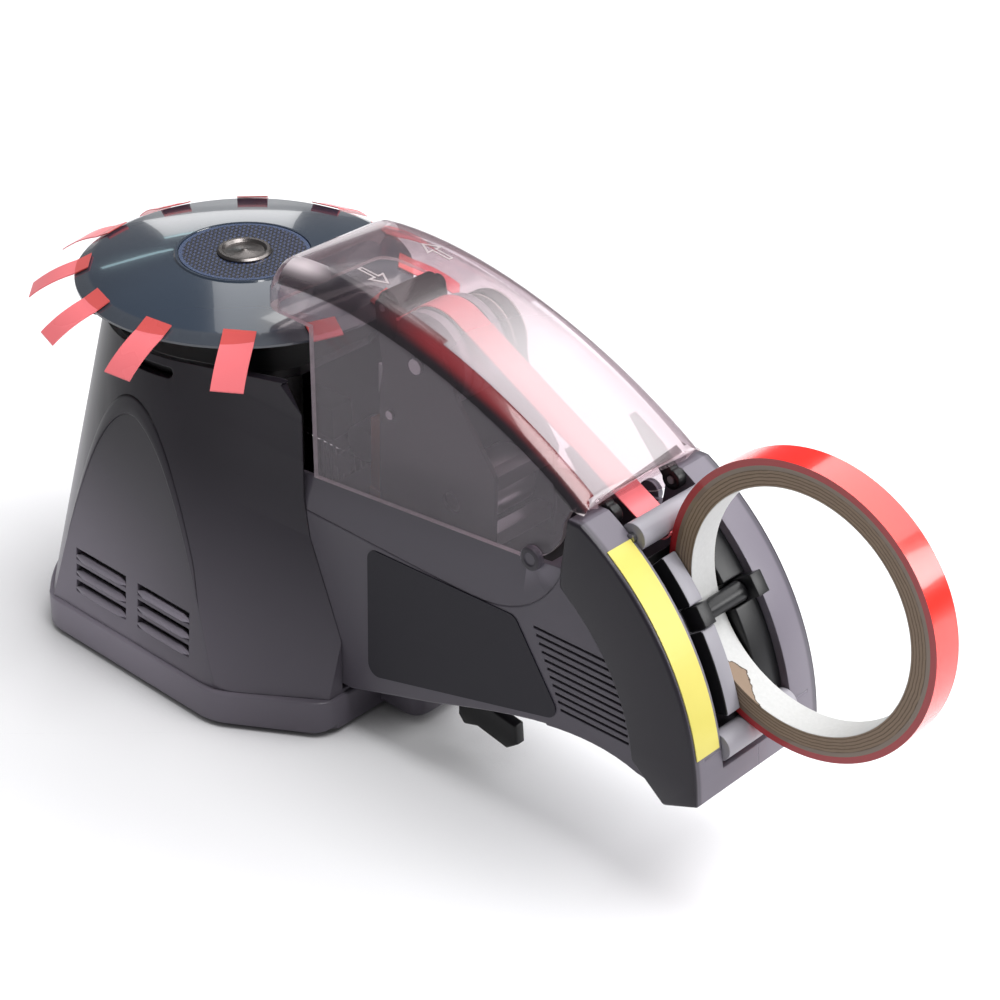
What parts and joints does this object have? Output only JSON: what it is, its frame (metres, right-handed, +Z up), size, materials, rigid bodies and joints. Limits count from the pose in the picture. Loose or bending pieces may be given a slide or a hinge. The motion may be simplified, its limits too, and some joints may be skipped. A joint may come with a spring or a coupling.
{
  "type": "tape_dispenser",
  "caption": "Electric carousel tape dispenser with a strip-carrying disc, smoky hinged cover and a red tape roll at its tail",
  "frame": {"origin": "on the table, under the middle of the part's box", "axes": "X from the carousel to the tail, Y across the machine, Z up"},
  "size_m": [0.3514, 0.139, 0.1609],
  "materials": {
    "body_grey": "fine moulded grain, half matt",
    "black_plastic": "half matt",
    "guide_grey": "half matt",
    "steel": "brushed",
    "cap_metal": "dark turned metal",
    "disc_slate": "glossy",
    "disc_print": "printed weave under gloss",
    "label_dark": "half gloss, bare",
    "label_yellow": "half gloss, bare",
    "rubber": "matt",
    "brass": "turned",
    "white_plastic": "matt",
    "board_green": "lacquered",
    "coil_brown": "varnished",
    "smoky_clear": "smoky clear plastic",
    "tape_red": "glossy film",
    "kraft": "layered brown paper"
  },
  "bodies": {
    "frame": {"tower_shell": "body_grey", "base_tray": "body_grey", "ballast_plate": "steel", "rubber_feet": "rubber", "base_screws": "steel", "top_deck": "black_plastic", "deck_bush": "brass", "carousel_motor": "steel", "strip_sensor": "black_plastic", "circuit_board": "board_green", "board_spacers": "brass", "dc_inlet": "black_plastic", "switch_frame": "black_plastic", "knob_spindle": "steel", "arm_shell_near": "body_grey", "arm_shell_far": "body_grey", "side_labels": "label_dark", "yellow_strip": "label_yellow", "lever_pin": "steel", "trough_floor": "black_plastic", "plate_near": "black_plastic", "plate_far": "black_plastic", "plate_spacers": "steel", "feed_motor": "steel", "drive_belt": "rubber", "pinch_pivot": "steel", "cutter_solenoid": "coil_brown", "guide_rods": "steel", "roller_axles": "steel", "guide_rail": "black_plastic", "far_guide": "black_plastic", "tape_web": "tape_red"},
    "carousel": {"carousel_disc": "disc_slate", "disc_label": "disc_print", "disc_cap": "cap_metal", "disc_hub": "black_plastic", "carousel_shaft": "steel", "tape_strips": "tape_red"},
    "cover": {"clear_cover": "smoky_clear", "hinge_eyes": "black_plastic", "hinge_pins": "steel"},
    "roll": {"tape_roll": "tape_red", "roll_core": "kraft"},
    "upper_roller": {"upper_roller": "guide_grey"},
    "lower_roller": {"lower_roller": "guide_grey"},
    "feed": {"feed_axle": "steel", "feed_wheel": "guide_grey", "feed_pulley": "white_plastic"},
    "motor_pulley": {"motor_pulley": "white_plastic"},
    "pinch_arm": {"pinch_arm": "black_plastic", "pinch_pin": "steel"},
    "pinch_roller": {"pinch_roller": "rubber"},
    "cutter": {"cutter_plunger": "steel", "cutter_blade": "steel"},
    "near_guide": {"near_guide": "guide_grey"},
    "retainer": {"retainer_rod": "black_plastic"},
    "switch": {"power_switch": "black_plastic"},
    "knob": {"length_knob": "black_plastic"},
    "lever": {"belly_lever": "black_plastic"}
  },
  "joints": [
    {"name": "carousel_spin", "type": "hinge", "parent": "frame", "child": "carousel", "pos_m": [-0.10372, 0, 0.13], "axis": [0, 0, 1], "continuous": true},
    {"name": "cover_hinge", "type": "hinge", "parent": "frame", "child": "cover", "pos_m": [0.06778, 0, 0.119], "axis": [0, 1, 0], "range_deg": [0, 70]},
    {"name": "roll_spin", "type": "hinge", "parent": "frame", "child": "roll", "pos_m": [0.12932, 0, 0.10863], "axis": [0, 1, 0], "continuous": true},
    {"name": "upper_roller_spin", "type": "hinge", "parent": "frame", "child": "upper_roller", "pos_m": [0.07798, 0, 0.1162], "axis": [0, 1, 0], "continuous": true},
    {"name": "lower_roller_spin", "type": "hinge", "parent": "frame", "child": "lower_roller", "pos_m": [0.11348, 0, 0.06], "axis": [0, 1, 0], "continuous": true},
    {"name": "feed_spin", "type": "hinge", "parent": "frame", "child": "feed", "pos_m": [-0.01072, 0, 0.138], "axis": [0, 1, 0], "continuous": true},
    {"name": "motor_pulley_spin", "type": "hinge", "parent": "frame", "child": "motor_pulley", "pos_m": [0.00428, 0, 0.096], "axis": [0, 1, 0], "continuous": true},
    {"name": "pinch_swing", "type": "hinge", "parent": "frame", "child": "pinch_arm", "pos_m": [-0.02172, 0, 0.117], "axis": [0, -1, 0], "range_deg": [0, 8], "stiffness_Nm_per_rad": 0.5, "springref_deg": -11.46},
    {"name": "pinch_roller_spin", "type": "hinge", "parent": "pinch_arm", "child": "pinch_roller", "pos_m": [-0.02743, 0, 0.15105], "axis": [0, 1, 0], "continuous": true},
    {"name": "cutter_slide", "type": "slide", "parent": "frame", "child": "cutter", "axis": [0, 0, 1], "range_m": [0, 0.008], "stiffness_N_per_m": 100, "springref_m": -0.004},
    {"name": "near_guide_slide", "type": "slide", "parent": "frame", "child": "near_guide", "axis": [0, -1, 0], "range_m": [0, 0.0035]},
    {"name": "retainer_slide", "type": "slide", "parent": "frame", "child": "retainer", "axis": [0.8022, 0, 0.5971], "range_m": [0, 0.02]},
    {"name": "switch_rock", "type": "hinge", "parent": "frame", "child": "switch", "pos_m": [-0.11672, 0.05377, 0.058], "axis": [0, -0.0732, 0.9973], "range_deg": [0, 16]},
    {"name": "knob_turn", "type": "hinge", "parent": "frame", "child": "knob", "pos_m": [-0.09072, 0.05377, 0.058], "axis": [0, 0.9973, 0.0732], "range_deg": [-135, 135]},
    {"name": "lever_swing", "type": "hinge", "parent": "frame", "child": "lever", "pos_m": [0.00378, 0, 0.023], "axis": [0, -1, 0], "range_deg": [0, 20], "stiffness_Nm_per_rad": 0.05, "springref_deg": -5.73}
  ],
  "couplings": [
    {"joint": "upper_roller_spin", "follows": "roll_spin", "ratio": -10.545},
    {"joint": "lower_roller_spin", "follows": "roll_spin", "ratio": -10.545},
    {"joint": "motor_pulley_spin", "follows": "feed_spin", "ratio": 2.4},
    {"joint": "pinch_roller_spin", "follows": "feed_spin", "ratio": -3.3696}
  ]
}
